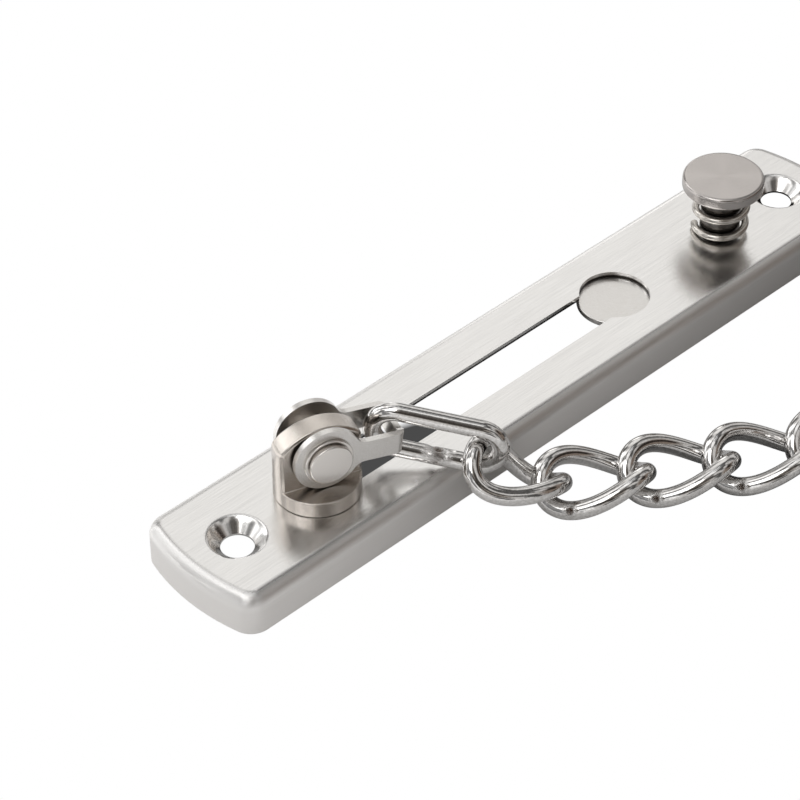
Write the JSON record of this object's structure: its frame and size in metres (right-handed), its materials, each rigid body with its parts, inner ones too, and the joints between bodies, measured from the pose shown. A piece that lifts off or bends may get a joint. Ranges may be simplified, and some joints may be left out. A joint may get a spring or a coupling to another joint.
{
  "type": "door chain",
  "caption": "Sliding door chain: pressed track plate with slot and keyhole, sprung release button, slider with shackle, and a twisted-link chain to an anchor plate.",
  "frame": {"origin": "middle of the track plate's open back, in the plane that lies against the door", "axes": "+X along the slot towards the release button, +Z out of the door, +Y across the plate away from the chain"},
  "size_m": [0.144, 0.104, 0.0211],
  "materials": {
    "plate_steel": "brushed stainless steel, hairlines along the plate",
    "polished_steel": "polished stainless steel",
    "turned_steel": "turned and polished, with fine tool marks",
    "spring_steel": "drawn wire"
  },
  "bodies": {
    "track": {"track_plate": "plate_steel", "button_spring": "spring_steel"},
    "button": {"release_button": "turned_steel", "lock_plate": "plate_steel"},
    "slider": {"slider_foot": "turned_steel"},
    "swivel": {"slider_stud": "turned_steel"},
    "shackle_group": {"shackle": "polished_steel", "pivot_pin": "turned_steel", "pivot_washer_near": "turned_steel", "pivot_washer_far": "turned_steel"},
    "link_1": {"chain_link_01": "polished_steel"},
    "link_2": {"chain_link_02": "polished_steel"},
    "link_3": {"chain_link_03": "polished_steel"},
    "link_4": {"chain_link_04": "polished_steel"},
    "link_5": {"chain_link_05": "polished_steel"},
    "link_6": {"chain_link_06": "polished_steel"},
    "link_7": {"chain_link_07": "polished_steel"},
    "anchor": {"anchor_plate": "plate_steel", "anchor_staple": "polished_steel", "anchor_rivet_near": "turned_steel", "anchor_rivet_far": "turned_steel"}
  },
  "joints": [
    {"name": "button_press", "type": "slide", "parent": "track", "child": "button", "axis": [0, 0, -1], "range_m": [0, 0.003], "stiffness_N_per_m": 400, "springref_m": -0.002, "deforming": ["button_spring"]},
    {"name": "slider_travel", "type": "slide", "parent": "track", "child": "slider", "axis": [1, 0, 0], "range_m": [0, 0.055]},
    {"name": "stud_swivel", "type": "hinge", "parent": "slider", "child": "swivel", "pos_m": [-0.046, -0.0005, 0.0072], "axis": [0, 0, -1], "range_deg": [0, 95]},
    {"name": "shackle_lift", "type": "hinge", "parent": "swivel", "child": "shackle_group", "pos_m": [-0.04562, -0.00063, 0.0157], "axis": [-0.3173, -0.9483, 0], "range_deg": [0, 135]},
    {"name": "link_1_swing", "type": "hinge", "parent": "shackle_group", "child": "link_1", "pos_m": [-0.03588, -0.00204, 0.01493], "axis": [-0.1017, 0.1256, -0.9869], "range_deg": [0, 30]},
    {"name": "link_2_lift", "type": "hinge", "parent": "link_1", "child": "link_2", "pos_m": [-0.02703, -0.01676, 0.01063], "axis": [-0.3746, -0.9272, 0], "range_deg": [0, 35]},
    {"name": "link_3_roll", "type": "hinge", "parent": "link_2", "child": "link_3", "pos_m": [-0.0181, -0.0213, 0.00342], "axis": [-0.4022, -0.6386, -0.6561], "range_deg": [-10, 22]},
    {"name": "link_4_roll", "type": "hinge", "parent": "link_3", "child": "link_4", "pos_m": [-0.00371, -0.03036, 0.00342], "axis": [-0.4022, -0.6386, 0.6561], "range_deg": [-10, 22]},
    {"name": "link_5_roll", "type": "hinge", "parent": "link_4", "child": "link_5", "pos_m": [0.00519, -0.03596, 0.00342], "axis": [-0.4022, -0.6386, -0.6561], "range_deg": [-10, 22]},
    {"name": "link_6_roll", "type": "hinge", "parent": "link_5", "child": "link_6", "pos_m": [0.01957, -0.04502, 0.00342], "axis": [-0.4022, -0.6386, 0.6561], "range_deg": [-10, 22]},
    {"name": "link_7_lift", "type": "hinge", "parent": "link_6", "child": "link_7", "pos_m": [0.02851, -0.04955, 0.01063], "axis": [-0.3746, -0.9272, 0], "range_deg": [0, 35]},
    {"name": "anchor_swing", "type": "hinge", "parent": "link_7", "child": "anchor", "pos_m": [0.03437, -0.06059, 0.0145], "axis": [0, 0, -1], "range_deg": [-10, 40]}
  ]
}
